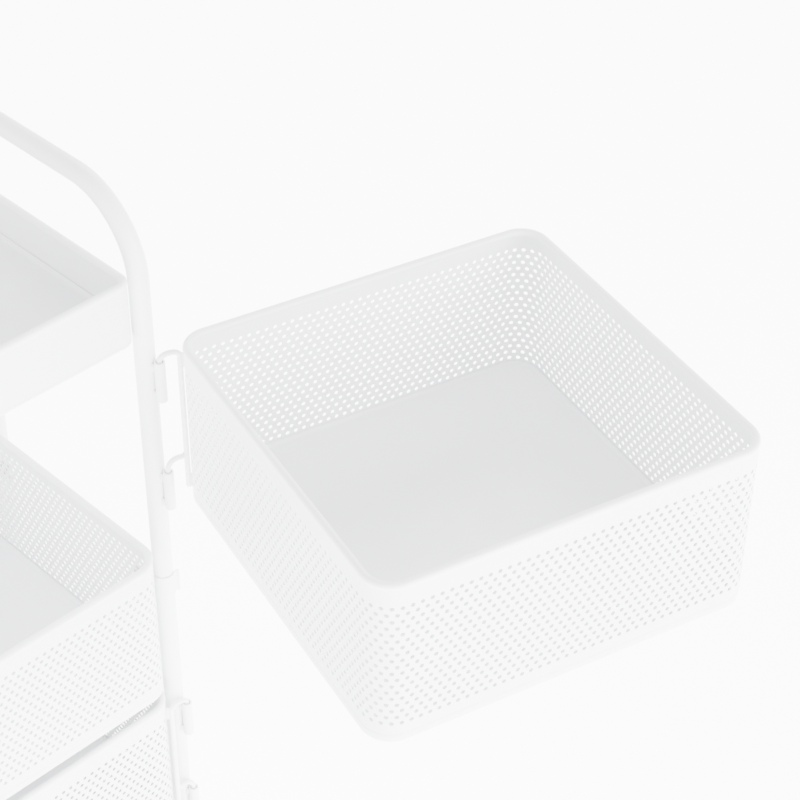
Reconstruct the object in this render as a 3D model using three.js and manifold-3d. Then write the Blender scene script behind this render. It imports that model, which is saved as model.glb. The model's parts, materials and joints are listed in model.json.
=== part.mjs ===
// Rolling utility cart: an inverted-U tube frame carries a shallow tray and four square
// baskets one above the other; two of the baskets swing out round the near post.
// Millimetres, +Z up. X runs along the frame from the far post to the near post,
// Y from the open front to the back. Measures below are taken from the near post's axis.
import * as THREE from 'three';
import { mergeVertices } from 'three/addons/utils/BufferGeometryUtils.js';
import Module from 'manifold-3d';

// ---- clearances and sheet ----
const GAP = 0.3;
const SHEET = 0.8;

// ---- where the near post's axis stands from the middle of the cart's footprint ----
const NEAR_POST_AT = { x: -43.5, y: 4 };

// ---- tube frame ----
const TUBE_R = 7.5;
const TUBE_WALL = 1.2;
const POST_SPACING = 207;
const BEND_R = 60;
const CASTER_HEIGHT = 68;
const BASE_Z = CASTER_HEIGHT + TUBE_R;
const BASE_TOP = CASTER_HEIGHT + 2 * TUBE_R;
const HANDLE_Z = 817;
const FOOT_BACK_Y = 24;
const FOOT_FRONT_Y = -292;
const CROSS_TUBE_Y = { front: -262, rear: -22 };

// ---- baskets ----
const BASKET_SIDE = 292;
const BASKET_HEIGHT = 137;
const BASKET_CORNER = 22;
const BASKET_NEAR_X = 14.9;
const REAR_Y = -8.4;
const RIM_D = 6;
const RIM_PROUD = 0.5;
const SKIRT = 6.7;
const BASKET_FLOOR = 10.2;
const TIER_PITCH = 148.7;
const SWING_SPACE = 41.9;
const TOP_ROW = 117;

// ---- tray ----
const TRAY_SIDE = 268;
const TRAY_HEIGHT = 52;
const TRAY_CORNER = 12;
const TRAY_NEAR_X = 7;
const TRAY_SKIRT = 3;
const TRAY_FLOOR = 11.6;
const TRAY_ABOVE_BASKET = 5.4;
const LUG = { from: -4.6, to: -28, back: -6.6, low: 1, high: 11, screwX: -21 };
const SCREW = { r: 1.9, headR: 3.4, headT: 2.2, z: 6, back: -3, reach: 16 };

// ---- hinges on the near post ----
const PIVOT = { x: 11.3, y: 3.6 };
const WIRE_R = 2;
const WIRE_AT = { x: 10.25, y: -11.4 };
const SLEEVE_R = 4;
const SLEEVE_BORE_R = 2.5;
const SLEEVE_LENGTH = 34.6;
const SLEEVE_TOP = 4.8;
const SLEEVE_SPACING = 99.8;
const PIN_END = 31;
const WIRE_BOTTOM = -115;
const ARCH_RISE = 4.6;
const LOWER_HOOK = -85;
const HOOK_BEND = 9;
const SWUNG_OUT = THREE.MathUtils.degToRad(164.7);

// ---- snap clips ----
const CLIP = { sheet: 0.7, height: 21, belowRim: 28, ear: 26, wrap: 135, lip: 4 };

// ---- casters ----
const CASTER_Y = { front: -280, rear: 10 };
const WHEEL = { r: 25, width: 18, bore: 3.3, chamfer: 2.5 };
const CASTER_PIN = { r: 4, top: 11 };
const BEARING = { r: 12, high: 3, capR: 9, capHigh: 3.6, raceR: 12.5 };
const TRAIL = 16;
const AXLE = { r: 3, half: 14 };
const FORK = { inner: 10.5, plate: 2.2, under: 56, top: 58.5, race: 61, front: -12, back: 14 };
// the cheek's corners behind the crown and round the axle: Y from the swivel axis, Z from the floor
const CHEEK_EDGE = [[18, 58.5], [38, 54], [41, 48], [35, 42], [23, 22], [16, 18], [9, 22]];
const BRAKE = { y: 36, z: 49, width: 16, sheet: 2, pinR: 1.5 };
// the pedal's bends from heel to toe: Y and Z from its pin
const PEDAL_BENDS = [[-7, 2.5], [0, 0], [9, -1.5], [18, -5]];

// ---- materials ----
const finishes = {
  powder: { color: 0xf3f4f5, roughness: 0.42, metalness: 0 },
  steel: { color: 0xb9bcc0, roughness: 0.3, metalness: 1 },
  wheel: { color: 0x8d9196, roughness: 0.55, metalness: 0 },
  fork: { color: 0xe8e9ea, roughness: 0.45, metalness: 0 },
};

const wasm = await Module();
wasm.setup();

// ---- solids ----

function toSolid(geometry) {
  const bare = geometry.clone();
  bare.deleteAttribute('normal');
  bare.deleteAttribute('uv');
  const merged = mergeVertices(bare, 1e-4);
  return new wasm.Manifold(new wasm.Mesh({
    numProp: 3,
    vertProperties: new Float32Array(merged.attributes.position.array),
    triVerts: new Uint32Array(merged.index.array),
  }));
}

function toGeometry(solid) {
  const mesh = solid.getMesh();
  const geometry = new THREE.BufferGeometry();
  geometry.setAttribute('position', new THREE.BufferAttribute(mesh.vertProperties, 3));
  geometry.setIndex(new THREE.BufferAttribute(mesh.triVerts, 1));
  geometry.computeVertexNormals();
  return geometry;
}

function join(...geometries) {
  return toGeometry(geometries.map(toSolid).reduce((all, next) => all.add(next)));
}

function cut(geometry, ...tools) {
  return toGeometry(tools.map(toSolid).reduce((left, tool) => left.subtract(tool), toSolid(geometry)));
}

function extrude(shape, depth, z = 0) {
  const geometry = new THREE.ExtrudeGeometry(shape, { depth, bevelEnabled: false });
  return geometry.translate(0, 0, z);
}

function box(low, high) {
  const size = high.map((value, i) => value - low[i]);
  const geometry = new THREE.BoxGeometry(...size);
  return geometry.translate(...low.map((value, i) => value + size[i] / 2));
}

// a round bar standing along Z from z0 to z1
function pin(r, z0, z1, sides = 12) {
  const geometry = new THREE.CylinderGeometry(r, r, z1 - z0, sides);
  return geometry.rotateX(Math.PI / 2).translate(0, 0, (z0 + z1) / 2);
}

// a body of revolution round Z from [radius, z] pairs
function turned(profile, sides = 16) {
  const points = profile.map(([r, z]) => new THREE.Vector2(r, z));
  return new THREE.LatheGeometry(points, sides).rotateX(Math.PI / 2);
}

// ---- outlines ----

function roundedSquare(side, radius, steps = 5) {
  const middle = side / 2 - radius;
  const points = [];
  for (let corner = 0; corner < 4; corner += 1) {
    const start = corner * Math.PI / 2;
    const signX = corner === 0 || corner === 3 ? 1 : -1;
    const signY = corner < 2 ? 1 : -1;
    for (let i = 0; i <= steps; i += 1) {
      const angle = start + (i / steps) * Math.PI / 2;
      const x = signX * middle + radius * Math.cos(angle);
      const y = signY * middle + radius * Math.sin(angle);
      points.push(new THREE.Vector2(x, y));
    }
  }
  return points;
}

function ringShape(outer, outerRadius, width) {
  const shape = new THREE.Shape(roundedSquare(outer, outerRadius));
  shape.holes.push(new THREE.Path(roundedSquare(outer - 2 * width, outerRadius - width)));
  return shape;
}

function circle(r, sides) {
  const points = [];
  for (let i = 0; i < sides; i += 1) {
    const angle = (i / sides) * 2 * Math.PI;
    points.push(new THREE.Vector2(r * Math.cos(angle), r * Math.sin(angle)));
  }
  return points;
}

// the outline of a bent strip of sheet, from the points along its middle
function strip(middle, thickness) {
  const sides = [1, -1].map((sign) => middle.map((point, i) => {
    const before = middle[Math.max(i - 1, 0)];
    const after = middle[Math.min(i + 1, middle.length - 1)];
    const along = after.clone().sub(before).normalize();
    const normal = new THREE.Vector2(-along.y, along.x);
    return point.clone().addScaledVector(normal, sign * thickness / 2);
  }));
  return new THREE.Shape([...sides[1], ...sides[0].reverse()]);
}

// a path whose steps fall exactly on the given points
class BentPath extends THREE.Curve {
  constructor(points) {
    super();
    this.points = points;
  }

  getPoint(t) {
    const last = this.points.length - 1;
    const at = Math.min(Math.floor(t * last + 1e-6), last - 1);
    return this.points[at].clone().lerp(this.points[at + 1], t * last - at);
  }

  getPointAt(u) {
    return this.getPoint(u);
  }

  getTangentAt(u) {
    const last = this.points.length - 1;
    const at = Math.round(u * last);
    const before = this.points[Math.max(at - 1, 0)];
    const after = this.points[Math.min(at + 1, last)];
    const towards = after.clone().sub(this.points[at]).normalize();
    return this.points[at].clone().sub(before).normalize().add(towards).normalize();
  }
}

function alongPath(shape, points) {
  const path = new BentPath(points);
  return new THREE.ExtrudeGeometry(shape, { steps: points.length - 1, extrudePath: path });
}

function rod(r, points, sides = 8) {
  return alongPath(new THREE.Shape(circle(r, sides)), points);
}

function tube(points, sides = 12) {
  const shape = new THREE.Shape(circle(TUBE_R, sides));
  shape.holes.push(new THREE.Path(circle(TUBE_R - TUBE_WALL, sides)));
  return alongPath(shape, points);
}

// points on an arc in the plane of a and b, angles in degrees; a short b flattens the arc
function arc(centre, r, a, b, from, to, steps) {
  const points = [];
  for (let i = 0; i <= steps; i += 1) {
    const angle = THREE.MathUtils.degToRad(from + (to - from) * i / steps);
    const along = centre.clone().addScaledVector(a, r * Math.cos(angle));
    points.push(along.addScaledVector(b, r * Math.sin(angle)));
  }
  return points;
}

const vec = (x, y, z) => new THREE.Vector3(x, y, z);
const UP = vec(0, 0, 1);
const ALONG_X = vec(1, 0, 0);

// ---- the exported group ----

const cart = new THREE.Group();
cart.position.set(NEAR_POST_AT.x, NEAR_POST_AT.y, 0);

function place(name, geometry, finish, parent = cart) {
  const mesh = new THREE.Mesh(geometry, new THREE.MeshStandardMaterial(finishes[finish]));
  mesh.name = name;
  parent.add(mesh);
  return mesh;
}

// ---- frame ----

function frameTube() {
  const bendZ = HANDLE_Z - BEND_R;
  const nearBend = arc(vec(-BEND_R, 0, bendZ), BEND_R, ALONG_X, UP, 0, 90, 6);
  const farBend = arc(vec(BEND_R - POST_SPACING, 0, bendZ), BEND_R, ALONG_X, UP, 90, 180, 6);
  const near = vec(0, 0, BASE_TOP + GAP);
  const far = vec(-POST_SPACING, 0, BASE_TOP + GAP);
  return tube([near, ...nearBend, ...farBend, far]);
}

function footTube() {
  const body = tube([vec(0, FOOT_FRONT_Y, BASE_Z), vec(0, FOOT_BACK_Y, BASE_Z)]);
  const hole = () => pin(CASTER_PIN.r + GAP, CASTER_HEIGHT - 1, BASE_Z);
  return cut(body, ...Object.values(CASTER_Y).map((y) => hole().translate(0, y, 0)));
}

function crossTube(y) {
  const reach = TUBE_R + GAP;
  return tube([vec(-reach, y, BASE_Z), vec(reach - POST_SPACING, y, BASE_Z)]);
}

function buildFrame() {
  place('frame_tube', frameTube(), 'powder');
  place('foot_tube_near', footTube(), 'powder');
  place('foot_tube_far', footTube(), 'powder').position.x = -POST_SPACING;
  place('cross_tube_front', crossTube(CROSS_TUBE_Y.front), 'powder');
  place('cross_tube_rear', crossTube(CROSS_TUBE_Y.rear), 'powder');
}

// ---- trays and baskets: a sheet wall, a rolled rim and a pressed floor pan ----

function wall(spec) {
  const side = spec.side - 2 * RIM_PROUD;
  const low = spec.skirt + GAP;
  const high = spec.height - RIM_D - GAP;
  return extrude(ringShape(side, spec.corner - RIM_PROUD, SHEET), high - low, low);
}

function rim(spec) {
  const bevel = RIM_D * 0.36;
  const flat = RIM_D - 2 * bevel;
  const shape = ringShape(spec.side - 2 * bevel, spec.corner - bevel, flat);
  const bevels = { bevelThickness: bevel, bevelSize: bevel, bevelSegments: 2 };
  const geometry = new THREE.ExtrudeGeometry(shape, { depth: flat, ...bevels });
  return geometry.translate(0, 0, spec.height - RIM_D + bevel);
}

function pan(spec) {
  const outer = spec.side - 2 * RIM_PROUD;
  const corner = spec.corner - RIM_PROUD;
  const inner = outer - 2 * (SHEET + GAP);
  const innerCorner = corner - SHEET - GAP;
  const skirt = extrude(new THREE.Shape(roundedSquare(outer, corner)), spec.skirt);
  const floor = extrude(new THREE.Shape(roundedSquare(inner, innerCorner)), spec.floor);
  const hollow = roundedSquare(inner - 2 * SHEET, innerCorner - SHEET);
  return cut(join(skirt, floor), extrude(new THREE.Shape(hollow), spec.floor - SHEET + 5, -5));
}

const basketSpec = {
  side: BASKET_SIDE,
  corner: BASKET_CORNER,
  height: BASKET_HEIGHT,
  skirt: SKIRT,
  floor: BASKET_FLOOR,
};

const traySpec = {
  side: TRAY_SIDE,
  corner: TRAY_CORNER,
  height: TRAY_HEIGHT,
  skirt: TRAY_SKIRT,
  floor: TRAY_FLOOR,
};

const middleOf = (spec, nearX) => ({ x: nearX - spec.side / 2, y: REAR_Y - spec.side / 2 });

// where each tier's lower edge stands above the floor
const bottomZ = { 5: BASE_TOP + GAP };
bottomZ[4] = bottomZ[5] + TIER_PITCH;
bottomZ[3] = bottomZ[4] + TIER_PITCH;
bottomZ[2] = bottomZ[3] + TIER_PITCH + SWING_SPACE;
bottomZ.tray = bottomZ[2] + BASKET_HEIGHT + TRAY_ABOVE_BASKET;

function placeVessel(name, spec, nearX, z, parent) {
  const middle = middleOf(spec, nearX);
  for (const [piece, make] of [['wall', wall], ['rim', rim], ['pan', pan]]) {
    place(`${name}_${piece}`, make(spec), 'powder', parent).position.set(middle.x, middle.y, z);
  }
}

// ---- tray with its two lugs and screws ----

const alongY = (geometry) => geometry.rotateX(-Math.PI / 2);

function screwHole(x) {
  return alongY(pin(SCREW.r + GAP, -SCREW.reach, 0)).translate(x, 0, SCREW.z);
}

function screw() {
  const face = REAR_Y - RIM_PROUD - 2 * SHEET - 2 * GAP;
  const profile = [
    [0, face - SCREW.headT],
    [SCREW.headR * 0.8, face - SCREW.headT],
    [SCREW.headR, face - SCREW.headT * 0.5],
    [SCREW.headR, face],
    [SCREW.r, face],
    [SCREW.r, SCREW.back],
    [0, SCREW.back],
  ];
  return alongY(turned(profile, 12));
}

function lug() {
  const wallY = REAR_Y - RIM_PROUD + GAP;
  const plate = box([LUG.to, wallY, LUG.low], [LUG.from, LUG.back, LUG.high]);
  return cut(plate, screwHole(LUG.screwX));
}

function buildTray() {
  const z = bottomZ.tray;
  const middle = middleOf(traySpec, TRAY_NEAR_X);
  const screwX = { near: LUG.screwX, far: -POST_SPACING - LUG.screwX };
  const holes = Object.values(screwX).map((x) => screwHole(x).translate(-middle.x, -middle.y, 0));
  const pieces = {
    wall: cut(wall(traySpec), ...holes),
    rim: rim(traySpec),
    pan: cut(pan(traySpec), ...holes),
  };
  for (const [piece, geometry] of Object.entries(pieces)) {
    place(`tray_${piece}`, geometry, 'powder').position.set(middle.x, middle.y, z);
  }
  place('tray_lug_near', lug(), 'powder').position.z = z;
  const turnedLug = lug().rotateY(Math.PI).translate(0, 0, LUG.low + LUG.high);
  place('tray_lug_far', turnedLug, 'powder').position.set(-POST_SPACING, 0, z);
  for (const [end, x] of Object.entries(screwX)) {
    place(`tray_screw_${end}`, screw(), 'steel').position.set(x, 0, z + SCREW.z);
  }
}

// ---- hinges: a bent wire on the basket hangs in two sleeves on the near post ----

// heights here are measured from the basket's top row of holes
// a horizontal unit vector from the hinge axis to the wire on the basket, and its length
function wireReach() {
  const reach = vec(WIRE_AT.x - PIVOT.x, WIRE_AT.y - PIVOT.y, 0);
  return { across: reach.clone().normalize(), length: reach.length() };
}

function hingeWire() {
  const { across, length } = wireReach();
  const half = length / 2;
  const centre = vec(PIVOT.x, PIVOT.y, SLEEVE_TOP + GAP).addScaledVector(across, half);
  const rise = UP.clone().multiplyScalar(ARCH_RISE / half);
  const arch = arc(centre, half, across, rise, 180, 0, 10);
  const pinFoot = vec(PIVOT.x, PIVOT.y, SLEEVE_TOP - PIN_END);
  const wireFoot = vec(WIRE_AT.x, WIRE_AT.y, WIRE_BOTTOM);
  return rod(WIRE_R, [pinFoot, ...arch, wireFoot]);
}

function lowerHook() {
  const { across } = wireReach();
  const start = vec(WIRE_AT.x, WIRE_AT.y, LOWER_HOOK).addScaledVector(across, -(WIRE_R + GAP));
  const centre = vec(PIVOT.x, PIVOT.y, LOWER_HOOK - HOOK_BEND).addScaledVector(across, HOOK_BEND);
  const elbow = arc(centre, HOOK_BEND, across, UP, 90, 180, 5);
  const pinFoot = vec(PIVOT.x, PIVOT.y, SLEEVE_TOP - SLEEVE_SPACING - PIN_END);
  return rod(WIRE_R, [start, ...elbow, pinFoot]);
}

function sleeve(top) {
  const low = top - SLEEVE_LENGTH;
  const profile = [
    [SLEEVE_BORE_R, low],
    [SLEEVE_R, low],
    [SLEEVE_R, top],
    [SLEEVE_BORE_R, top],
    [SLEEVE_BORE_R, low],
  ];
  return turned(profile, 12);
}

function buildSwingBasket(tier, angle) {
  const name = `basket${tier}`;
  const rowZ = bottomZ[tier] + TOP_ROW;
  const swing = new THREE.Group();
  swing.position.set(PIVOT.x, PIVOT.y, 0);
  swing.rotation.z = angle;
  cart.add(swing);
  const closed = new THREE.Group();
  closed.position.set(-PIVOT.x, -PIVOT.y, 0);
  swing.add(closed);
  placeVessel(name, basketSpec, BASKET_NEAR_X, bottomZ[tier], closed);
  place(`${name}_hinge_wire`, hingeWire(), 'powder', closed).position.z = rowZ;
  place(`${name}_lower_hook`, lowerHook(), 'powder', closed).position.z = rowZ;
  const upper = place(`${name}_sleeve_upper`, sleeve(SLEEVE_TOP), 'powder');
  upper.position.set(PIVOT.x, PIVOT.y, rowZ);
  const lower = place(`${name}_sleeve_lower`, sleeve(SLEEVE_TOP - SLEEVE_SPACING), 'powder');
  lower.position.set(PIVOT.x, PIVOT.y, rowZ);
}

// ---- fixed baskets: two snap clips on the back wall grip the posts ----

// the ear lies on the wall, the strip then wraps the post's outer side and flares
function clip() {
  const r = TUBE_R + GAP + CLIP.sheet / 2;
  const middle = [new THREE.Vector2(-CLIP.ear, -r)];
  const steps = 9;
  for (let i = 0; i <= steps; i += 1) {
    const angle = THREE.MathUtils.degToRad(270 + CLIP.wrap * i / steps);
    middle.push(new THREE.Vector2(r * Math.cos(angle), r * Math.sin(angle)));
  }
  const end = middle[middle.length - 1];
  middle.push(end.clone().addScaledVector(end.clone().normalize(), CLIP.lip));
  return extrude(strip(middle, CLIP.sheet), CLIP.height);
}

function buildFixedBasket(tier) {
  const name = `basket${tier}`;
  const clipZ = bottomZ[tier] + BASKET_HEIGHT - CLIP.belowRim - CLIP.height;
  placeVessel(name, basketSpec, BASKET_NEAR_X, bottomZ[tier], cart);
  place(`${name}_clip_near`, clip(), 'powder').position.z = clipZ;
  const mirrored = clip().rotateY(Math.PI).translate(0, 0, CLIP.height);
  place(`${name}_clip_far`, mirrored, 'powder').position.set(-POST_SPACING, 0, clipZ);
}

// ---- casters ----

const alongXAxis = (geometry) => geometry.rotateY(Math.PI / 2);

function casterStem() {
  return turned([
    [0, FORK.race + GAP],
    [BEARING.r, FORK.race + GAP],
    [BEARING.r, FORK.race + BEARING.high],
    [BEARING.capR, FORK.race + BEARING.capHigh],
    [BEARING.capR, CASTER_HEIGHT - GAP],
    [CASTER_PIN.r, CASTER_HEIGHT - GAP],
    [CASTER_PIN.r, CASTER_HEIGHT + CASTER_PIN.top],
    [0, CASTER_HEIGHT + CASTER_PIN.top],
  ]);
}

// one cheek of the fork, drawn in Y and Z, reaching back to the brake's pin
function forkCheek(x) {
  const outline = [[FORK.front, FORK.under], [FORK.front, FORK.top], ...CHEEK_EDGE];
  const shape = new THREE.Shape(outline.map(([y, z]) => new THREE.Vector2(y, z)));
  const cheek = extrude(shape, FORK.plate);
  return cheek.rotateX(Math.PI / 2).rotateZ(Math.PI / 2).translate(x, 0, 0);
}

function casterFork() {
  const outer = FORK.inner + FORK.plate;
  const crown = box([-outer, FORK.front, FORK.under], [outer, FORK.back, FORK.top]);
  const race = pin(BEARING.raceR, FORK.top - 1, FORK.race, 16);
  const bore = alongXAxis(pin(AXLE.r + GAP, -outer - 1, outer + 1)).translate(0, TRAIL, WHEEL.r);
  return cut(join(crown, race, forkCheek(FORK.inner), forkCheek(-outer)), bore);
}

function casterWheel() {
  const half = WHEEL.width / 2;
  const profile = [
    [WHEEL.bore, -half],
    [WHEEL.r - WHEEL.chamfer, -half],
    [WHEEL.r, WHEEL.chamfer - half],
    [WHEEL.r, half - WHEEL.chamfer],
    [WHEEL.r - WHEEL.chamfer, half],
    [WHEEL.bore, half],
    [WHEEL.bore, -half],
  ];
  return alongXAxis(turned(profile, 24));
}

function brakeLever() {
  const middle = PEDAL_BENDS.map(([y, z]) => new THREE.Vector2(y, z));
  const pedal = extrude(strip(middle, BRAKE.sheet), BRAKE.width);
  pedal.rotateX(Math.PI / 2).rotateZ(Math.PI / 2).translate(-BRAKE.width / 2, 0, 0);
  const reach = FORK.inner - GAP;
  return join(pedal, alongXAxis(pin(BRAKE.pinR, -reach, reach, 8)));
}

function buildCaster(name, x, y, braked) {
  const spot = new THREE.Group();
  spot.position.set(x, y, 0);
  cart.add(spot);
  place(`${name}_stem`, casterStem(), 'steel', spot);
  place(`${name}_fork`, casterFork(), 'fork', spot);
  const axle = alongXAxis(pin(AXLE.r, -AXLE.half, AXLE.half));
  place(`${name}_axle`, axle, 'steel', spot).position.set(0, TRAIL, WHEEL.r);
  place(`${name}_wheel`, casterWheel(), 'wheel', spot).position.set(0, TRAIL, WHEEL.r);
  if (braked) {
    place(`${name}_brake`, brakeLever(), 'fork', spot).position.set(0, BRAKE.y, BRAKE.z);
  }
}

// ---- assembly ----

buildFrame();
buildTray();
buildSwingBasket(2, SWUNG_OUT);
buildFixedBasket(3);
buildSwingBasket(4, 0);
buildFixedBasket(5);
for (const [end, y] of Object.entries(CASTER_Y)) {
  buildCaster(`caster_${end}_near`, 0, y, end === 'front');
  buildCaster(`caster_${end}_far`, -POST_SPACING, y, end === 'front');
}

export default cart;
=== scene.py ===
import json
import math

import bmesh
import bpy
import numpy as np
from mathutils import Matrix, Vector


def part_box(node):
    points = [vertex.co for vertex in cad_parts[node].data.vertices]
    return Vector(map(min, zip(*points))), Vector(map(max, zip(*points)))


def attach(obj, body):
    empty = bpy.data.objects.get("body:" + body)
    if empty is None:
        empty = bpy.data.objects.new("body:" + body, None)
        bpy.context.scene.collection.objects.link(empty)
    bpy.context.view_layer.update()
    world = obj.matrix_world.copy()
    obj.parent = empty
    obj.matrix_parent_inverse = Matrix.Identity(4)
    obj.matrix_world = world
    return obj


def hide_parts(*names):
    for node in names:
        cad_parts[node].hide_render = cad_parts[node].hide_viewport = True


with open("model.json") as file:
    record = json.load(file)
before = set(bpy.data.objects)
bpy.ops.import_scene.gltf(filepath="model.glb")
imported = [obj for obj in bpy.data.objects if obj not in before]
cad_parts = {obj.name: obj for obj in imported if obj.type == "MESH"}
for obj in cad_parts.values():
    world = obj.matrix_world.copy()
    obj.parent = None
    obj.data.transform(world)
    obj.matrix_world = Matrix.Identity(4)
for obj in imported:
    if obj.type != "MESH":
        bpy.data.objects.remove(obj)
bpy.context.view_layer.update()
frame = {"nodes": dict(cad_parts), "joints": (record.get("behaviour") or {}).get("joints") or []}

# Looks of the rolling utility cart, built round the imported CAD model. Metres, in the CAD's own frame.

MM = 0.001

# sheet and wire
SHEET = 0.8 * MM
RIM_PROUD = 0.5 * MM
RIM_R = 3.0 * MM
WIRE_R = 2.0 * MM
TUBE_R = 7.5 * MM
BEND_R = 60.0 * MM
GAP = 0.3 * MM

# hinges: the wire's arch and hook, how far the pin goes down its sleeve, and the sleeve's bore
ARCH_RISE = 4.6 * MM
HOOK_BEND = 9.0 * MM
PIN_DEPTH = 31.0 * MM
SLEEVE_BORE_R = 2.5 * MM

# snap clips: the sheet, where the ear along the wall starts and ends, and one step of the flared lip
CLIP_SHEET = 0.7 * MM
EAR_START = -26.0 * MM
EAR_END = -8.0 * MM
LIP_STEPS = 6
LIP_STEP = 0.75 * MM
LIP_STEP_TURN = 15

# perforations: staggered rows of holes, each an octagon
HOLE_ROWS = 19
HOLES_ROUND = 165
HOLE_CORNERS = 8
ROW_PITCH = 5.56 * MM
TOP_ROW_BELOW_RIM = 20.0 * MM
HOLE_R = 1.7 * MM

# plan corners, over the rim
BASKET_CORNER = 22.0 * MM
TRAY_CORNER = 12.0 * MM

# casters: the fork's plate, its cheeks' faces from the wheel's middle, its crown's ends from the stem,
# its boss round the axle, and the ribs of the hub
FORK_PLATE = 2.5 * MM
CHEEK_IN = 10.5 * MM
CHEEK_OUT = 12.7 * MM
CROWN_FRONT = -12.0 * MM
CROWN_BACK = 14.0 * MM
AXLE_BOSS_R = 7.0 * MM
WHEEL_RIBS = 6

# how finely the round pieces are made, and the angle from which an edge counts as sharp
TUBE_SIDES = 40
WIRE_SIDES = 20
SHARP_ANGLE = math.radians(35)

# studio: strength of the white surroundings, the glow of the pale floor, and the floor's half width
HORIZON_LIGHT = 7.0
OVERHEAD_LIGHT = 1.4
FLOOR_GLOW = 7.0
FLOOR_REACH = 6.0

# camera: its place from the near post at the height of basket 2's top row of holes, and its aim
CAMERA_FROM_POST = (0.9417, -0.6918, 0.8928)
CAMERA_AZIMUTH = math.radians(47.63)
CAMERA_ELEVATION = math.radians(38.27)
CAMERA_ROLL = math.radians(-1.13)
CAMERA_LENS = 95.14
CAMERA_SHIFT = (0.095, -0.0184)


# ---------------------------------------------------------------- places taken from the CAD

def joint(name):
    return next(item for item in frame["joints"] if item["name"] == name)


def low(node):
    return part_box(node)[0]


def high(node):
    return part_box(node)[1]


PIVOT = Vector(joint("basket2_swing")["pos_m"])
SWUNG_OUT = -math.radians(joint("basket2_swing")["range_deg"][0])
POST_Y = (low("frame_tube").y + high("frame_tube").y) / 2
NEAR_X = high("frame_tube").x - TUBE_R
FAR_X = low("frame_tube").x + TUBE_R
CLOSED_HIGH = high("basket3_rim")
BASKET_SIDE = CLOSED_HIGH.x - low("basket3_rim").x


# ---------------------------------------------------------------- materials

def new_material(name, colour, roughness, metallic=0.0, specular=0.5):
    material = bpy.data.materials.new(name)
    material.use_nodes = True
    shader = material.node_tree.nodes["Principled BSDF"]
    shader.inputs["Base Color"].default_value = (*colour, 1)
    shader.inputs["Roughness"].default_value = roughness
    shader.inputs["Metallic"].default_value = metallic
    shader.inputs["Specular IOR Level"].default_value = specular
    return material, shader


def noise(material, scale):
    """A noise texture in object space, so that it stays on the piece."""
    nodes, links = material.node_tree.nodes, material.node_tree.links
    place = nodes.new("ShaderNodeTexCoord")
    texture = nodes.new("ShaderNodeTexNoise")
    texture.inputs["Scale"].default_value = scale
    texture.inputs["Detail"].default_value = 2.0
    links.new(place.outputs["Object"], texture.inputs["Vector"])
    return texture


def add_bump(material, shader, scale, distance, strength):
    nodes, links = material.node_tree.nodes, material.node_tree.links
    bump = nodes.new("ShaderNodeBump")
    bump.inputs["Distance"].default_value = distance
    bump.inputs["Strength"].default_value = strength
    links.new(noise(material, scale).outputs["Fac"], bump.inputs["Height"])
    links.new(bump.outputs["Normal"], shader.inputs["Normal"])


def vary(material, shader, socket, scale, low_value, high_value):
    """Lets a shader value wander between two limits over the surface."""
    nodes, links = material.node_tree.nodes, material.node_tree.links
    spread = nodes.new("ShaderNodeMapRange")
    spread.inputs["From Min"].default_value = 0.3
    spread.inputs["From Max"].default_value = 0.7
    spread.inputs["To Min"].default_value = low_value
    spread.inputs["To Max"].default_value = high_value
    links.new(noise(material, scale).outputs["Fac"], spread.inputs["Value"])
    links.new(spread.outputs["Result"], shader.inputs[socket])


def tint(material, shader, scale, colour_a, colour_b):
    """Lets the colour drift between two close tones."""
    nodes, links = material.node_tree.nodes, material.node_tree.links
    ramp = nodes.new("ShaderNodeValToRGB")
    ramp.color_ramp.elements[0].position = 0.35
    ramp.color_ramp.elements[1].position = 0.65
    ramp.color_ramp.elements[0].color = (*colour_a, 1)
    ramp.color_ramp.elements[1].color = (*colour_b, 1)
    links.new(noise(material, scale).outputs["Fac"], ramp.inputs["Fac"])
    links.new(ramp.outputs["Color"], shader.inputs["Base Color"])


def powder_coat():
    material, shader = new_material("white_powder_coat", (0.86, 0.87, 0.885), 0.36)
    tint(material, shader, 14, (0.855, 0.865, 0.88), (0.875, 0.882, 0.895))
    vary(material, shader, "Roughness", 60, 0.32, 0.42)
    add_bump(material, shader, 1400, 0.05 * MM, 0.35)
    return material


def bright_steel():
    material, shader = new_material("zinc_steel", (0.62, 0.63, 0.65), 0.3, metallic=1.0)
    vary(material, shader, "Roughness", 400, 0.24, 0.4)
    add_bump(material, shader, 2500, 0.02 * MM, 0.3)
    return material


def fork_plastic():
    material, shader = new_material("caster_plastic", (0.8, 0.81, 0.825), 0.45)
    tint(material, shader, 30, (0.79, 0.8, 0.815), (0.815, 0.822, 0.835))
    add_bump(material, shader, 3000, 0.03 * MM, 0.4)
    return material


def tread_rubber():
    material, shader = new_material("grey_tread", (0.2, 0.205, 0.215), 0.62)
    tint(material, shader, 90, (0.18, 0.185, 0.195), (0.23, 0.235, 0.245))
    add_bump(material, shader, 1800, 0.06 * MM, 0.5)
    return material


POWDER = powder_coat()
STEEL = bright_steel()
FORK = fork_plastic()
TREAD = tread_rubber()


# ---------------------------------------------------------------- mesh helpers

def face_outward(mesh):
    shell = bmesh.new()
    shell.from_mesh(mesh)
    bmesh.ops.recalc_face_normals(shell, faces=shell.faces)
    shell.to_mesh(mesh)
    shell.free()


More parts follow.
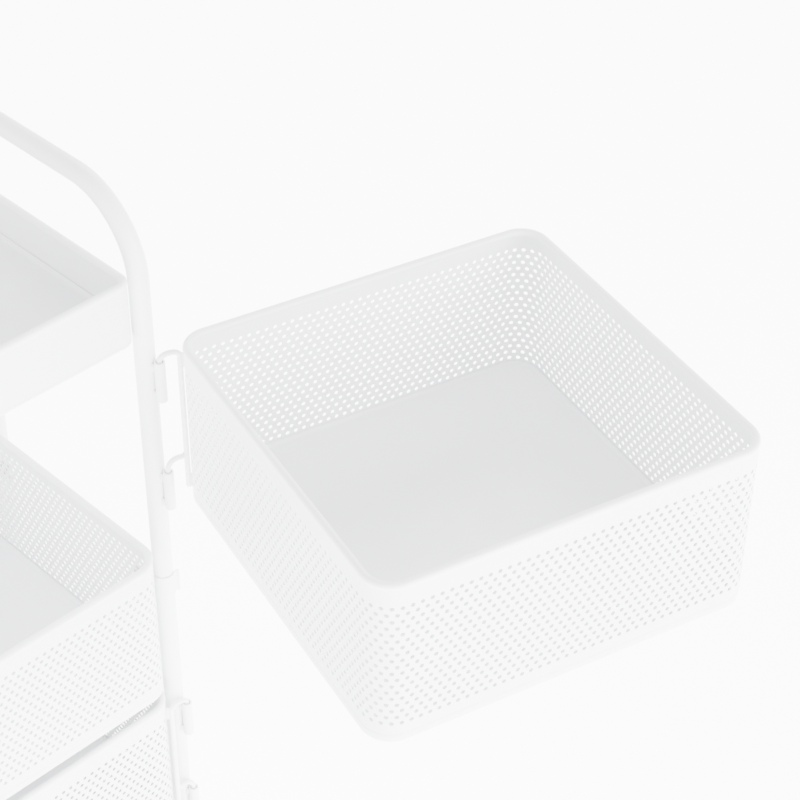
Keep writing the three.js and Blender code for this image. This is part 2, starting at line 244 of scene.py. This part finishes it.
def add_piece(name, mesh_data, material, body, nodes, place=None):
    """Makes a piece of vertices and faces, smooth but for its sharp edges."""
    verts, faces = mesh_data
    mesh = bpy.data.meshes.new(name)
    mesh.from_pydata([tuple(v) for v in verts], [], faces)
    if place is not None:
        mesh.transform(place)
    face_outward(mesh)
    mesh.shade_smooth()
    mesh.set_sharp_from_angle(angle=SHARP_ANGLE)
    mesh.materials.append(material)
    piece = bpy.data.objects.new(name, mesh)
    bpy.context.scene.collection.objects.link(piece)
    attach(piece, body)
    if nodes:
        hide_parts(*nodes)
    return piece


def merge(*parts):
    """Puts several (vertices, faces) lists together as one."""
    verts, faces = [], []
    for part_verts, part_faces in parts:
        start = len(verts)
        verts.extend(part_verts)
        faces.extend([tuple(start + i for i in face) for face in part_faces])
    return verts, faces


def moved(mesh_data, matrix):
    verts, faces = mesh_data
    return [matrix @ Vector(v) for v in verts], faces


def loops_to_mesh(loops, closed=False):
    """Quads between equal closed loops of points, with the end loops capped or joined up."""
    count = len(loops[0])
    verts = [tuple(point) for loop in loops for point in loop]
    faces = []
    last = len(loops) if closed else len(loops) - 1
    for k in range(last):
        a, b = k * count, ((k + 1) % len(loops)) * count
        for i in range(count):
            j = (i + 1) % count
            faces.append((a + i, a + j, b + j, b + i))
    if not closed:
        faces.append(tuple(reversed(range(count))))
        faces.append(tuple(range(len(verts) - count, len(verts))))
    return verts, faces


def along_square(s, side, corner):
    """Points and outward normals at the distances s along a rounded square centred on the origin."""
    straight = side - 2 * corner
    leg = straight + corner * math.pi / 2
    s = np.asarray(s) % (4 * leg)
    turn = np.floor(s / leg)
    t = s - turn * leg
    angle = np.clip((t - straight) / corner, 0, None)
    x = straight / 2 + corner * np.cos(angle)
    y = np.minimum(t, straight) - straight / 2 + corner * np.sin(angle)
    spin = turn * math.pi / 2
    cos, sin = np.cos(spin), np.sin(spin)
    points = np.stack([x * cos - y * sin, x * sin + y * cos], -1)
    normals = np.stack([np.cos(angle + spin), np.sin(angle + spin)], -1)
    return points, normals


def square_stations(side, corner, arc_steps=14, straight_steps=6):
    """Distances along a rounded square: close together on its corners, far apart on its sides."""
    straight = side - 2 * corner
    arc = corner * math.pi / 2
    stations = []
    for k in range(4):
        start = k * (straight + arc)
        stations += [start + straight * i / straight_steps for i in range(straight_steps)]
        stations += [start + straight + arc * i / arc_steps for i in range(arc_steps)]
    return np.array(stations)


def square_sweep(profile, side, corner, closed=True):
    """Sweeps (inset, height) points round a rounded square."""
    points, normals = along_square(square_stations(side, corner), side, corner)
    loops = []
    for inset, z in profile:
        flat = points - normals * inset
        loops.append([(x, y, z) for x, y in flat])
    return loops_to_mesh(loops, closed=closed)


def frames_along(path):
    """Tangent and two cross directions at each point of a path, turned as little as possible."""
    path = [Vector(p) for p in path]
    tangents = []
    for i, point in enumerate(path):
        before = path[max(i - 1, 0)]
        after = path[min(i + 1, len(path) - 1)]
        inward = (point - before).normalized() if i else Vector()
        outward = (after - point).normalized() if i < len(path) - 1 else Vector()
        tangents.append((inward + outward).normalized())
    side = tangents[0].orthogonal().normalized()
    frames = []
    for tangent in tangents:
        side = (side - tangent * side.dot(tangent)).normalized()
        frames.append((tangent, side, tangent.cross(side)))
    return path, frames


def rod(path, radius, sides=WIRE_SIDES, scales=None):
    """A round bar along a path; scales may thin it at each point."""
    path, frames = frames_along(path)
    scales = scales or [1.0] * len(path)
    loops = []
    for point, (_, a, b), scale in zip(path, frames, scales):
        loop = []
        for i in range(sides):
            angle = 2 * math.pi * i / sides
            loop.append(point + (a * math.cos(angle) + b * math.sin(angle)) * radius * scale)
        loops.append(loop)
    return loops_to_mesh(loops)


def round_ended(path, radius, sides=WIRE_SIDES, steps=5):
    """A round bar with domed ends."""
    path = [Vector(p) for p in path]
    start = (path[0] - path[1]).normalized()
    end = (path[-1] - path[-2]).normalized()
    angles = [math.pi / 2 * i / steps for i in range(steps)]
    first = [path[0] + start * radius * (math.cos(a) - 1) for a in angles]
    last = [path[-1] + end * radius * (math.cos(a) - 1) for a in reversed(angles)]
    dome = [max(math.sin(a), 0.05) for a in angles]
    scales = dome + [1.0] * len(path) + dome[::-1]
    inner_start = path[0] - start * radius
    inner_end = path[-1] - end * radius
    whole = first + [inner_start] + path[1:-1] + [inner_end] + last
    return rod(whole, radius, sides, scales)


def arc_points(centre, radius, a, b, start, end, steps):
    """Points along an arc in the plane of a and b, between two angles in degrees."""
    points = []
    for i in range(steps + 1):
        angle = math.radians(start + (end - start) * i / steps)
        points.append(centre + a * radius * math.cos(angle) + b * radius * math.sin(angle))
    return points


def turned(profile, sides=32, closed=False):
    """A body of revolution round Z from (radius, height) points."""
    loops = []
    for r, z in profile:
        ring = []
        for i in range(sides):
            angle = 2 * math.pi * i / sides
            ring.append((r * math.cos(angle), r * math.sin(angle), z))
        loops.append(ring)
    return loops_to_mesh(loops, closed=closed)


def weld(start, end, radius, ripples=7):
    """A weld bead: a low rippled bar between two points."""
    start, end = Vector(start), Vector(end)
    steps = ripples * 4
    path = [start.lerp(end, i / steps) for i in range(steps + 1)]
    scales = []
    for i in range(steps + 1):
        taper = min(1.0, 0.35 + 2.6 * min(i, steps - i) / steps)
        scales.append(taper * (0.9 + 0.1 * math.cos(2 * math.pi * ripples * i / steps)))
    return rod(path, radius, 12, scales)


X = Vector((1, 0, 0))
Y = Vector((0, 1, 0))
Z = Vector((0, 0, 1))


# ---------------------------------------------------------------- perforated walls

def plain_wall(side, corner, z_low, z_high):
    profile = [(0, z_low), (0, z_high), (SHEET, z_high), (SHEET, z_low)]
    return square_sweep(profile, side, corner)


def wall_rows(pitch, z_low, z_high, z_top_row):
    """Distances round and heights of a wall's points: edges, lines between rows, then the rows."""
    columns = 2 * HOLES_ROUND
    line_s = np.arange(columns) * pitch / 2
    line_z = [z_high, z_low] + [z_top_row + ROW_PITCH * (0.5 - k) for k in range(HOLE_ROWS + 1)]
    rows = [(line_s, np.full(columns, z)) for z in line_z]
    turn = np.arange(HOLE_CORNERS) * 2 * math.pi / HOLE_CORNERS
    for row in range(HOLE_ROWS):
        centre_s = (np.arange(HOLES_ROUND) + 0.5 * (row % 2)) * pitch
        centre_z = z_top_row - row * ROW_PITCH
        rows.append((centre_s - pitch / 2, np.full(HOLES_ROUND, centre_z)))
        ring_s = centre_s[:, None] + HOLE_R * np.cos(turn)
        ring_z = np.broadcast_to(centre_z + HOLE_R * np.sin(turn), ring_s.shape)
        rows.append((ring_s.ravel(), ring_z.ravel()))
    return rows


def band(lower, upper):
    """Quads between two lines of points round the wall, given each line's first point."""
    column = np.arange(2 * HOLES_ROUND)
    after = (column + 1) % len(column)
    return np.stack([lower + column, lower + after, upper + after, upper + column], -1)


def hole_quads(row, above, below, mid, rings, through):
    """The sheet round each hole of a row, and the hole's edge through the sheet."""
    columns = 2 * HOLES_ROUND
    holes = np.arange(HOLES_ROUND)
    ring = rings + holes * HOLE_CORNERS
    centre = (2 * holes + row % 2) % columns
    left, right = (centre - 1) % columns, (centre + 1) % columns
    border = [mid + (holes + 1) % HOLES_ROUND, above + right, above + centre, above + left,
              mid + holes, below + left, below + centre, below + right]
    sheet, edges = [], []
    for m in range(HOLE_CORNERS):
        n = (m + 1) % HOLE_CORNERS
        sheet.append(np.stack([ring + m, border[m], border[n], ring + n], -1))
        edges.append(np.stack([ring + m, ring + n, ring + n + through, ring + m + through], -1))
    return sheet, edges


def perforated_wall(side, corner, z_low, z_high, z_top_row):
    """A sheet wall with staggered rows of round holes, each in its own cell."""
    perimeter = 4 * (side - 2 * corner) + 2 * math.pi * corner
    rows = wall_rows(perimeter / HOLES_ROUND, z_low, z_high, z_top_row)
    s = np.concatenate([row_s for row_s, _ in rows])
    z = np.concatenate([row_z for _, row_z in rows])
    points, normals = along_square(s, side, corner)
    outer = np.column_stack([points, z])
    inner = np.column_stack([points - normals * SHEET, z])
    count = len(s)

    starts = np.cumsum([0] + [len(row_s) for row_s, _ in rows])
    top, bottom, *lines = starts[:3 + HOLE_ROWS]
    row_starts = starts[3 + HOLE_ROWS:]
    sheet, edges = [band(lines[0], top), band(bottom, lines[-1])], []
    for row in range(HOLE_ROWS):
        mid, rings = row_starts[2 * row:2 * row + 2]
        row_sheet, row_edges = hole_quads(row, lines[row], lines[row + 1], mid, rings, count)
        sheet += row_sheet
        edges += row_edges
    sheet = np.concatenate(sheet)
    edges += [band(top, top + count), band(bottom + count, bottom)]
    quads = np.concatenate([sheet, sheet[:, ::-1] + count, *edges])
    return np.concatenate([outer, inner]).tolist(), quads.tolist()


# ---------------------------------------------------------------- trays and baskets

def rolled_rim(side, corner, z_top):
    """The sheet edge rolled inward into a bead."""
    profile = []
    for i in range(20):
        angle = 2 * math.pi * i / 20
        profile.append((RIM_R - RIM_R * math.cos(angle), z_top - RIM_R + RIM_R * math.sin(angle)))
    return square_sweep(profile, side, corner)


def floor_pan(side, corner, z_low, skirt, floor):
    """The pressed floor: a skirt below the wall, a lip inside it and a flat floor with a soft crease."""
    seam = skirt + 0.15 * MM
    inside = SHEET + GAP
    profile = [
        (6 * MM, floor - 1.2 * MM),
        (3.2 * MM, floor - 1.9 * MM),
        (1.9 * MM, floor - 3.4 * MM),
        (1.7 * MM, 0.5 * MM),
        (1.35 * MM, 0.1 * MM),
        (0.85 * MM, 0),
        (0.3 * MM, 0.15 * MM),
        (0, 0.6 * MM),
        (0, skirt - 0.7 * MM),
        (0.12 * MM, skirt - 0.25 * MM),
        (0.45 * MM, seam),
        (inside, seam),
        (inside, floor + 3.4 * MM),
        (inside + 0.3 * MM, floor + 3.8 * MM),
        (inside + 0.6 * MM, floor + 3.4 * MM),
        (inside + 0.8 * MM, floor + 2.2 * MM),
        (inside + 1.4 * MM, floor + 1.0 * MM),
        (inside + 2.6 * MM, floor + 0.3 * MM),
        (inside + 4.6 * MM, floor),
    ]
    lifted = [(inset, z_low + z) for inset, z in profile]
    return square_sweep(lifted, side, corner, closed=False)


def vessel(name, body, side, corner, z, perforated, place):
    """Wall, rim and pan of one tray or basket. z holds its low edge, skirt, floor and top heights."""
    wall_side = side - 2 * RIM_PROUD
    wall_corner = corner - RIM_PROUD
    wall_low = z["low"] + z["skirt"] + GAP
    wall_high = z["top"] - RIM_R
    if perforated:
        wall = perforated_wall(wall_side, wall_corner, wall_low, wall_high, z["top"] - TOP_ROW_BELOW_RIM)
    else:
        wall = plain_wall(wall_side, wall_corner, wall_low, wall_high)
    rim = rolled_rim(side, corner, z["top"])
    pan = floor_pan(wall_side, wall_corner, z["low"], z["skirt"], z["floor"])
    for piece, mesh_data in (("wall", wall), ("rim", rim), ("pan", pan)):
        node = f"{name}_{piece}"
        add_piece(f"{name}_{piece}_sheet", mesh_data, POWDER, body, [node], place)


def heights(name):
    wall_low = low(f"{name}_wall").z
    base = low(f"{name}_pan").z
    return {
        "low": base,
        "skirt": wall_low - base - GAP,
        "floor": high(f"{name}_pan").z - base,
        "top": high(f"{name}_rim").z,
    }


def centre_of(node):
    middle = (low(node) + high(node)) / 2
    return Vector((middle.x, middle.y, 0))


def swing_matrix(angle):
    """Turns a piece from the closed position about the hinge."""
    return Matrix.Translation(PIVOT) @ Matrix.Rotation(angle, 4, "Z") @ Matrix.Translation(-PIVOT)


def build_tray():
    side = high("tray_rim").x - low("tray_rim").x
    place = Matrix.Translation(centre_of("tray_rim"))
    vessel("tray", "frame", side, TRAY_CORNER, heights("tray"), False, place)


def build_baskets():
    at = Matrix.Translation(centre_of("basket3_rim"))
    for tier, angle in ((2, SWUNG_OUT), (3, 0), (4, 0), (5, 0)):
        name = f"basket{tier}"
        body = name if tier in (2, 4) else "frame"
        place = swing_matrix(angle) @ at
        vessel(name, body, BASKET_SIDE, BASKET_CORNER, heights(name), True, place)


# ---------------------------------------------------------------- frame

def bow_path():
    """Up the near post, over the handle and down the far post."""
    top = Z * (high("frame_tube").z - TUBE_R - BEND_R)
    foot = Z * low("frame_tube").z
    near = Vector((NEAR_X, POST_Y, 0))
    far = Vector((FAR_X, POST_Y, 0))
    path = [near + foot]
    path += arc_points(near - X * BEND_R + top, BEND_R, X, Z, 0, 90, 20)
    path += arc_points(far + X * BEND_R + top, BEND_R, X, Z, 90, 180, 20)
    return path + [far + foot]


def post_collars():
    """The weld fillets where the posts stand on the foot tubes."""
    fillet = [(TUBE_R - 0.4 * MM, 0), (TUBE_R + 0.9 * MM, 0), (TUBE_R + 0.5 * MM, 1.6 * MM),
              (TUBE_R - 0.4 * MM, 2.8 * MM)]
    z = low("frame_tube").z - 2.2 * MM
    collar = turned(fillet, TUBE_SIDES)
    return [moved(collar, Matrix.Translation((x, POST_Y, z))) for x in (NEAR_X, FAR_X)]


def build_frame():
    bow = rod(bow_path(), TUBE_R, TUBE_SIDES)
    add_piece("frame_bow", bow, POWDER, "frame", ["frame_tube"])
    for node in ("foot_tube_near", "foot_tube_far"):
        a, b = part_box(node)
        middle = (a + b) / 2
        ends = [Vector((middle.x, y, middle.z)) for y in (a.y, b.y)]
        add_piece(f"{node}_round", capped_tube(*ends), POWDER, "frame", [node])
    for node in ("cross_tube_front", "cross_tube_rear"):
        a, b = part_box(node)
        middle = (a + b) / 2
        ends = [Vector((x, middle.y, middle.z)) for x in (a.x - GAP, b.x + GAP)]
        tube = rod(ends, TUBE_R, TUBE_SIDES)
        add_piece(f"{node}_round", tube, POWDER, "frame", [node])
    add_piece("post_welds", merge(*post_collars()), POWDER, "frame", [])


def capped_tube(start, end):
    """A tube closed by shallow domed ends."""
    along = (end - start).normalized()
    path = [start, start + along * 0.5 * MM, start + along * 1.6 * MM]
    path += [end - along * 1.6 * MM, end - along * 0.5 * MM, end]
    return rod(path, TUBE_R, TUBE_SIDES, [0.86, 0.96, 1, 1, 0.96, 0.86])


# ---------------------------------------------------------------- hinges

def sleeve_mesh(node):
    a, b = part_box(node)
    outer, bore, soft = (b.x - a.x) / 2, SLEEVE_BORE_R, 0.5 * MM
    tall = b.z - a.z
    profile = [
        (bore, soft), (bore + soft, 0), (outer - soft, 0), (outer, soft),
        (outer, tall - soft), (outer - soft, tall), (bore + soft, tall), (bore, tall - soft),
    ]
    middle = (a + b) / 2
    return moved(turned(profile, 28, closed=True), Matrix.Translation((middle.x, middle.y, a.z)))


def hinge_path(name):
    """The wire's path in the closed position: hinge axis, wire's leg, and the flat arch between them."""
    rest_low = low("basket4_hinge_wire")
    pivot = Vector((PIVOT.x, PIVOT.y, 0))
    leg = Vector((rest_low.x + WIRE_R, rest_low.y + WIRE_R, 0))
    across = (leg - pivot).normalized()
    half = (leg - pivot).length / 2
    spring = Z * (high(f"{name}_sleeve_upper").z + GAP)
    rise = Z * (ARCH_RISE / half)
    hoop = arc_points((pivot + leg) / 2 + spring, half, across, rise, 180, 0, 24)
    return pivot, leg, across, hoop


def build_wire(name, place):
    """The long wire: the pin in the upper sleeve, the arch, and the leg down the basket's corner."""
    pivot, leg, _, hoop = hinge_path(name)
    pin_foot = pivot + Z * (high(f"{name}_sleeve_upper").z - PIN_DEPTH)
    leg_foot = leg + Z * low(f"{name}_hinge_wire").z
    wire = round_ended([pin_foot, *hoop, leg_foot], WIRE_R)
    add_piece(f"{name}_wire", wire, POWDER, name, [f"{name}_hinge_wire"], place)


def hook_height(name):
    return high(f"{name}_lower_hook").z - WIRE_R


def build_hook(name, place):
    """The short wire: from the leg across to the lower sleeve, then down as its pin."""
    pivot, leg, across, _ = hinge_path(name)
    level = hook_height(name)
    elbow_at = pivot + across * HOOK_BEND + Z * (level - HOOK_BEND)
    elbow = arc_points(elbow_at, HOOK_BEND, across, Z, 90, 180, 12)
    pin_foot = pivot + Z * low(f"{name}_lower_hook").z
    hook = round_ended([leg + Z * level - across * 0.5 * MM, *elbow, pin_foot], WIRE_R)
    add_piece(f"{name}_hook", hook, POWDER, name, [f"{name}_lower_hook"], place)


def build_hinge_welds(name, place):
    """Beads that join the leg to the basket's corner, and the hook to the leg."""
    _, leg, across, _ = hinge_path(name)
    corner = Vector((CLOSED_HIGH.x - BASKET_CORNER, CLOSED_HIGH.y - BASKET_CORNER, 0))
    inward = (corner - leg).normalized()
    wall_face = corner - inward * (BASKET_CORNER - RIM_PROUD)
    on_wire = leg + inward * WIRE_R * 0.6
    on_wall = wall_face + inward * 0.6 * MM
    beads = []
    for z in (high(f"{name}_rim").z - 18 * MM, low(f"{name}_hinge_wire").z + 7 * MM):
        for k in range(-3, 4):
            level = Z * (z + k * 1.6 * MM)
            beads.append(weld(on_wire + level, on_wall + level, 1.5 * MM, 2))
    aside = across.cross(Z) * WIRE_R * 0.5
    reach = Z * 3 * MM
    for sign in (-1, 1):
        at = leg - across * WIRE_R * 0.8 + aside * sign + Z * hook_height(name)
        beads.append(weld(at - reach, at + reach, 1.2 * MM, 3))
    add_piece(f"{name}_hinge_welds", merge(*beads), POWDER, name, [], place)


def build_sleeves(name):
    """The two bored sleeves on the near post, each held by two pairs of beads."""
    post = Vector((NEAR_X, POST_Y, 0))
    out = (Vector((PIVOT.x, PIVOT.y, 0)) - post).normalized()
    aside = out.cross(Z) * 2.6 * MM
    length = 7 * MM
    beads = []
    for end in ("upper", "lower"):
        node = f"{name}_sleeve_{end}"
        add_piece(f"{node}_bush", sleeve_mesh(node), POWDER, "frame", [node])
        for sign in (-1, 1):
            at = post + out * (TUBE_R + 0.1 * MM) + aside * sign
            for z in (low(node).z + 2 * MM, high(node).z - 2 * MM - length):
                beads.append(weld(at + Z * z, at + Z * (z + length), 1.5 * MM, 4))
    add_piece(f"{name}_sleeve_welds", merge(*beads), POWDER, "frame", [])


def build_hinge(tier, angle):
    name = f"basket{tier}"
    place = swing_matrix(angle)
    build_wire(name, place)
    build_hook(name, place)
    build_hinge_welds(name, place)
    build_sleeves(name)


# ---------------------------------------------------------------- snap clips

def ribbon(middle, thickness, z_low, z_high, soft=0.25 * MM):
    """A bent strip of sheet standing on edge, with softened long edges."""
    half = thickness / 2
    section = [(-half, z_low + soft), (-half + soft, z_low), (half - soft, z_low), (half, z_low + soft),
               (half, z_high - soft), (half - soft, z_high), (-half + soft, z_high), (-half, z_high - soft)]
    loops = []
    for i, point in enumerate(middle):
        before, after = middle[max(i - 1, 0)], middle[min(i + 1, len(middle) - 1)]
        along = (after - before).normalized()
        normal = Vector((-along.y, along.x, 0))
        loops.append([point + normal * offset + Z * z for offset, z in section])
    return loops_to_mesh(loops)


def clip_mesh(node, x, flip):
    """The ear along the wall, the wrap round the post's outer side, and the flared lip."""
    r = TUBE_R + GAP + CLIP_SHEET / 2
    middle = [Vector((EAR_START, -r, 0)), Vector((EAR_END, -r, 0))]
    middle += arc_points(Vector(), r, X, Y, 270, 405, 24)[1:]
    end = middle[-1]
    out = end.normalized()
    along = Vector((-out.y, out.x, 0))
    for k in range(1, LIP_STEPS + 1):
        turn = math.radians(LIP_STEP_TURN * k)
        end = end + (along * math.cos(turn) + out * math.sin(turn)) * LIP_STEP
        middle.append(end)
    path = [Vector((x + flip * p.x, POST_Y + p.y, 0)) for p in middle]
    return ribbon(path, CLIP_SHEET, low(node).z, high(node).z)


def build_clips():
    for tier in (3, 5):
        for end, x, flip in (("near", NEAR_X, 1), ("far", FAR_X, -1)):
            node = f"basket{tier}_clip_{end}"
            add_piece(f"{node}_strip", clip_mesh(node, x, flip), POWDER, "frame", [node])


# ---------------------------------------------------------------- casters

ALONG_X = Matrix.Rotation(math.pi / 2, 4, "Y")


def prism(outline, x_low, x_high):
    """An outline in Y and Z given a thickness along X."""
    loops = [[(x, y, z) for y, z in outline] for x in (x_low, x_high)]
    return loops_to_mesh(loops)


def soften(piece, width):
    """Rounds a piece's sharp edges."""
    bevel = piece.modifiers.new("soft_edges", "BEVEL")
    bevel.width = width
    bevel.segments = 3
    bevel.limit_method = "ANGLE"
    bevel.angle_limit = SHARP_ANGLE


def cheek_outline(axle, top, swivel_y):
    """The fork's side plate: wide at the crown, round at the axle, with a horn for the brake's pin."""
    under = top - FORK_PLATE
    outline = [(swivel_y + CROWN_FRONT, under), (swivel_y + CROWN_FRONT, top)]
    horn = in_mm([(18, 0), (37, -4.5), (40, -8), (40.5, -12), (35, -16.5)])
    outline += [(swivel_y + y, top + z) for y, z in horn]
    for i in range(9):
        angle = math.radians(-10 - 20 * i)
        outline.append((axle.y + AXLE_BOSS_R * math.cos(angle), axle.z + AXLE_BOSS_R * math.sin(angle)))
    return outline


def mirrored(half_profile):
    """A (radius, height) profile given above the middle plane, completed below it."""
    return [(r, -z) for r, z in half_profile] + [(r, z) for r, z in reversed(half_profile)]


def in_mm(points):
    """Pairs of millimetres as metres."""
    return [(a * MM, b * MM) for a, b in points]


def build_wheel(name, body, centre):
    """A tread moulded round a ribbed hub."""
    tread = mirrored(in_mm([(20.5, 8.4), (21, 9), (22.6, 9), (24.2, 7.9), (24.9, 6), (25, 2)]))
    place = Matrix.Translation(centre) @ ALONG_X
    tyre = turned(tread, 72, closed=True)
    add_piece(f"{name}_tread", tyre, TREAD, body, [f"{name}_wheel"], place)
    hub = mirrored(in_mm([(3.3, 8.6), (6.4, 8.6), (7, 8), (7, 3.2), (17.2, 3.2), (17.4, 8.2), (18, 8.7),
                          (20.6, 8.7)]))
    parts = [turned(hub, 64, closed=True)]
    rib_outline = in_mm([(6.5, -7.4), (17.6, -7.4), (17.6, 7.4), (6.5, 7.4)])
    rib = prism(rib_outline, -0.9 * MM, 0.9 * MM)
    for k in range(WHEEL_RIBS):
        parts.append(moved(rib, Matrix.Rotation(2 * math.pi * k / WHEEL_RIBS, 4, "Z")))
    add_piece(f"{name}_hub", merge(*parts), FORK, body, [], place)


def build_fork(name, body, axle, swivel):
    """Two cheeks under a crown, with the bearing's race on top."""
    top = high(f"{name}_fork").z - FORK_PLATE
    under = top - FORK_PLATE
    front, back = swivel.y + CROWN_FRONT, swivel.y + CROWN_BACK
    crown = [(front, under), (back, under), (back, top), (front, top)]
    cheek = cheek_outline(axle, top, swivel.y)
    race = in_mm([(0.2, -0.5), (12.5, -0.5), (12.5, 1.6), (11.6, 2.5), (0.2, 2.5)])
    fork = merge(
        prism(cheek, axle.x - CHEEK_OUT, axle.x - CHEEK_IN),
        prism(cheek, axle.x + CHEEK_IN, axle.x + CHEEK_OUT),
        prism(crown, axle.x - CHEEK_OUT, axle.x + CHEEK_OUT),
        moved(turned(race, 40), Matrix.Translation((swivel.x, swivel.y, top))),
    )
    soften(add_piece(f"{name}_yoke", fork, FORK, body, [f"{name}_fork"]), 0.6 * MM)


def build_housing(name, stem_foot):
    """The ball bearing's stepped cup with the stem above it."""
    cup = in_mm([(0.2, 0), (11, 0), (12, 0.8), (12, 2.2), (11.2, 2.9), (9.2, 3.4), (9, 4.2), (9, 5.9),
                 (8.4, 6.4), (4, 6.4), (4, 17.5), (0.2, 17.7)])
    place = Matrix.Translation(stem_foot)
    add_piece(f"{name}_housing", turned(cup, 40), STEEL, "frame", [f"{name}_stem"], place)


def build_rivet(name, body, axle):
    """The axle: a bar with a domed head at each end."""
    bar = mirrored(in_mm([(0.2, 14), (3.2, 14), (4.6, 13.5), (4.9, 12.9), (3, 12.8)]))
    place = Matrix.Translation(axle) @ ALONG_X
    add_piece(f"{name}_rivet", turned(bar, 28), STEEL, body, [f"{name}_axle"], place)


def build_caster(name, braked):
    stem_low, stem_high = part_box(f"{name}_stem")
    axle = (low(f"{name}_axle") + high(f"{name}_axle")) / 2
    swivel = (stem_low + stem_high) / 2
    body = f"{name}_swivel"
    build_fork(name, body, axle, swivel)
    build_housing(name, (swivel.x, swivel.y, stem_low.z))
    build_rivet(name, body, axle)
    build_wheel(name, f"{name}_wheel", axle)
    if braked:
        build_brake(name, f"{name}_brake")


def build_brake(name, body):
    """A pressed pedal on a pin between the fork's horns, with grip ridges on its toe."""
    pivot = Vector(joint(f"{name}_brake_press")["pos_m"])
    bends = in_mm([(-7, 2.5), (-3.5, 1.6), (0, 0.4), (4.5, -0.6), (9, -1.5), (13.5, -3), (18, -5)])
    plate = ribbon([Vector((y, z, 0)) for y, z in bends], 2 * MM, -8 * MM, 8 * MM, 0.5 * MM)
    across_x = Matrix(((0, 0, 1, 0), (1, 0, 0, 0), (0, 1, 0, 0), (0, 0, 0, 1)))
    parts = [moved(plate, across_x)]
    for y, z in in_mm([(11.5, -1.1), (14, -2.1), (16.5, -3.2)]):
        ridge = [Vector((x, y, z)) for x in (-6.5 * MM, 6.5 * MM)]
        parts.append(round_ended(ridge, 0.7 * MM, 12))
    pin = [X * -10.2 * MM, X * 10.2 * MM]
    parts.append(round_ended(pin, 1.5 * MM, 16))
    pedal = merge(*parts)
    add_piece(f"{name}_pedal", pedal, FORK, body, [f"{name}_brake"], Matrix.Translation(pivot))


# ---------------------------------------------------------------- CAD nodes that stay

def dress(node, material):
    slots = frame["nodes"][node].data.materials
    slots.clear()
    slots.append(material)


# ---------------------------------------------------------------- stage, light and camera

def build_stage():
    mesh = bpy.data.meshes.new("floor")
    signs = ((-1, -1), (1, -1), (1, 1), (-1, 1))
    corners = [(x * FLOOR_REACH, y * FLOOR_REACH, 0) for x, y in signs]
    mesh.from_pydata(corners, [], [(0, 1, 2, 3)])
    material, shader = new_material("pale_floor", (0.95, 0.95, 0.95), 0.7, specular=0.2)
    shader.inputs["Emission Color"].default_value = (1, 1, 1, 1)
    shader.inputs["Emission Strength"].default_value = FLOOR_GLOW
    mesh.materials.append(material)
    floor = bpy.data.objects.new("floor", mesh)
    bpy.context.scene.collection.objects.link(floor)


def add_light(name, place, target, size, power):
    light = bpy.data.lights.new(name, "AREA")
    light.shape = "DISK"
    light.size = size
    light.energy = power
    lamp = bpy.data.objects.new(name, light)
    lamp.location = place
    lamp.rotation_euler = (Vector(target) - Vector(place)).to_track_quat("-Z", "Y").to_euler()
    bpy.context.scene.collection.objects.link(lamp)


def build_light():
    """A white studio: bright all round, dimmer overhead, with a soft key from the right."""
    world = bpy.data.worlds.new("studio")
    world.use_nodes = True
    nodes, links = world.node_tree.nodes, world.node_tree.links
    place = nodes.new("ShaderNodeTexCoord")
    split = nodes.new("ShaderNodeSeparateXYZ")
    fade = nodes.new("ShaderNodeMapRange")
    fade.inputs["To Min"].default_value = HORIZON_LIGHT
    fade.inputs["To Max"].default_value = OVERHEAD_LIGHT
    links.new(place.outputs["Generated"], split.inputs["Vector"])
    links.new(split.outputs["Z"], fade.inputs["Value"])
    links.new(fade.outputs["Result"], nodes["Background"].inputs["Strength"])
    nodes["Background"].inputs["Color"].default_value = (1, 1, 1, 1)
    bpy.context.scene.world = world
    middle = (0, 0, 0.6)
    add_light("key", (2.6, 0.4, 1.3), middle, 1.6, 170)
    add_light("back", (-1.4, 1.6, 2.4), middle, 1.2, 60)


def build_camera():
    """Looks down past the near post at the swung-out basket."""
    top_row = high("basket2_rim").z - TOP_ROW_BELOW_RIM
    right = Vector((math.cos(CAMERA_AZIMUTH), math.sin(CAMERA_AZIMUTH), 0))
    level = Vector((-math.sin(CAMERA_AZIMUTH), math.cos(CAMERA_AZIMUTH), 0))
    forward = level * math.cos(CAMERA_ELEVATION) - Z * math.sin(CAMERA_ELEVATION)
    up = right.cross(forward)
    rolled_right = right * math.cos(CAMERA_ROLL) + up * math.sin(CAMERA_ROLL)
    rolled_up = rolled_right.cross(forward)
    matrix = Matrix((rolled_right, rolled_up, -forward)).transposed().to_4x4()
    matrix.translation = Vector((NEAR_X, POST_Y, top_row)) + Vector(CAMERA_FROM_POST)
    data = bpy.data.cameras.new("camera")
    data.sensor_width = 36
    data.lens = CAMERA_LENS
    data.shift_x, data.shift_y = CAMERA_SHIFT
    camera = bpy.data.objects.new("camera", data)
    camera.matrix_world = matrix
    bpy.context.scene.collection.objects.link(camera)
    bpy.context.scene.camera = camera


# ---------------------------------------------------------------- assembly

build_camera()
build_frame()
build_tray()
build_baskets()
build_hinge(2, SWUNG_OUT)
build_hinge(4, 0)
build_clips()
for front_or_rear in ("front", "rear"):
    for end in ("near", "far"):
        build_caster(f"caster_{front_or_rear}_{end}", front_or_rear == "front")
for lug in ("tray_lug_near", "tray_lug_far"):
    dress(lug, POWDER)
for screw in ("tray_screw_near", "tray_screw_far"):
    dress(screw, STEEL)
build_stage()
build_light()
